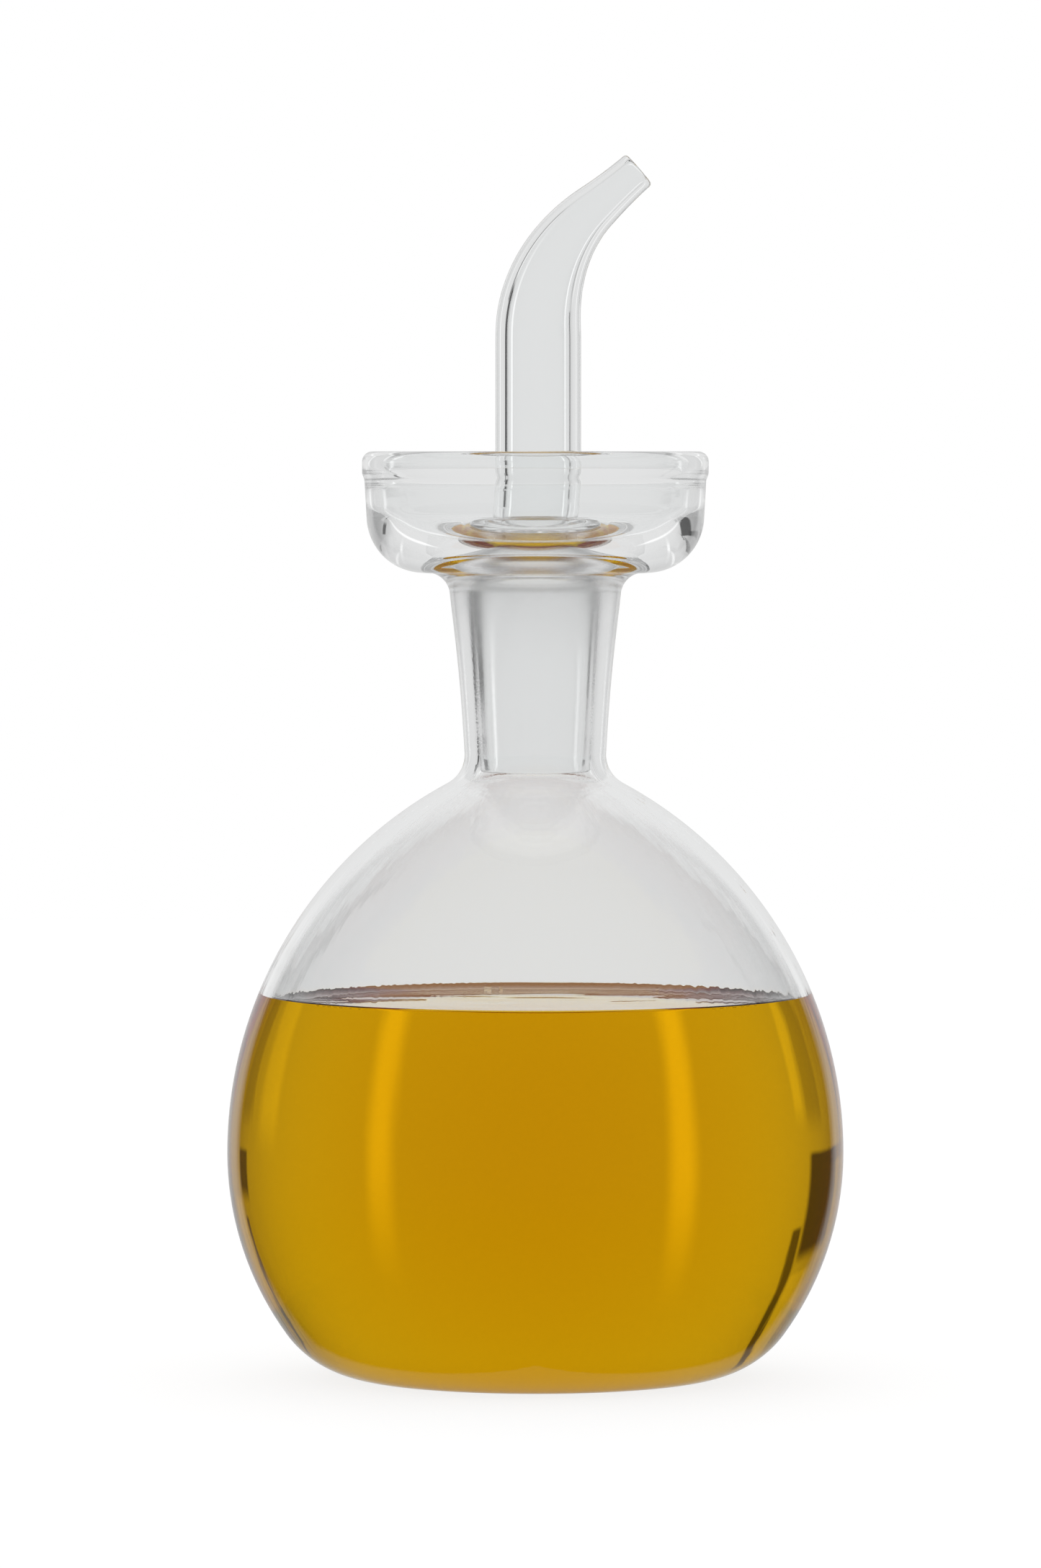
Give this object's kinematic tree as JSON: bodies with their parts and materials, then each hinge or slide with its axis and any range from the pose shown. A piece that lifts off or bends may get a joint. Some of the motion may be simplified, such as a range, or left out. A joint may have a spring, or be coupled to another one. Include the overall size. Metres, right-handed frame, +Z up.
{
  "type": "glass oil bottle",
  "caption": "Round clear-glass oil cruet with a drip cup welded round its neck and a lift-out ground-glass stopper that carries a bent pouring spout, part filled with oil.",
  "frame": {"origin": "centre of the foot, on the plane that the bottle stands on", "axes": "+Z up along the bottle's axis, +X the way the spout points, +Y to the back"},
  "size_m": [0.108, 0.108, 0.2139],
  "materials": {
    "clear_glass": "polished",
    "ground_glass": "satin",
    "olive_oil": "gloss"
  },
  "bodies": {
    "bottle": {"globe": "clear_glass", "neck_socket": "clear_glass", "drip_cup": "clear_glass", "oil": "olive_oil"},
    "stopper": {"ground_plug": "ground_glass", "spout_tube": "clear_glass"}
  },
  "joints": [
    {"name": "stopper_lift", "type": "slide", "parent": "bottle", "child": "stopper", "axis": [0, 0, 1], "range_m": [0, 0.06]}
  ]
}
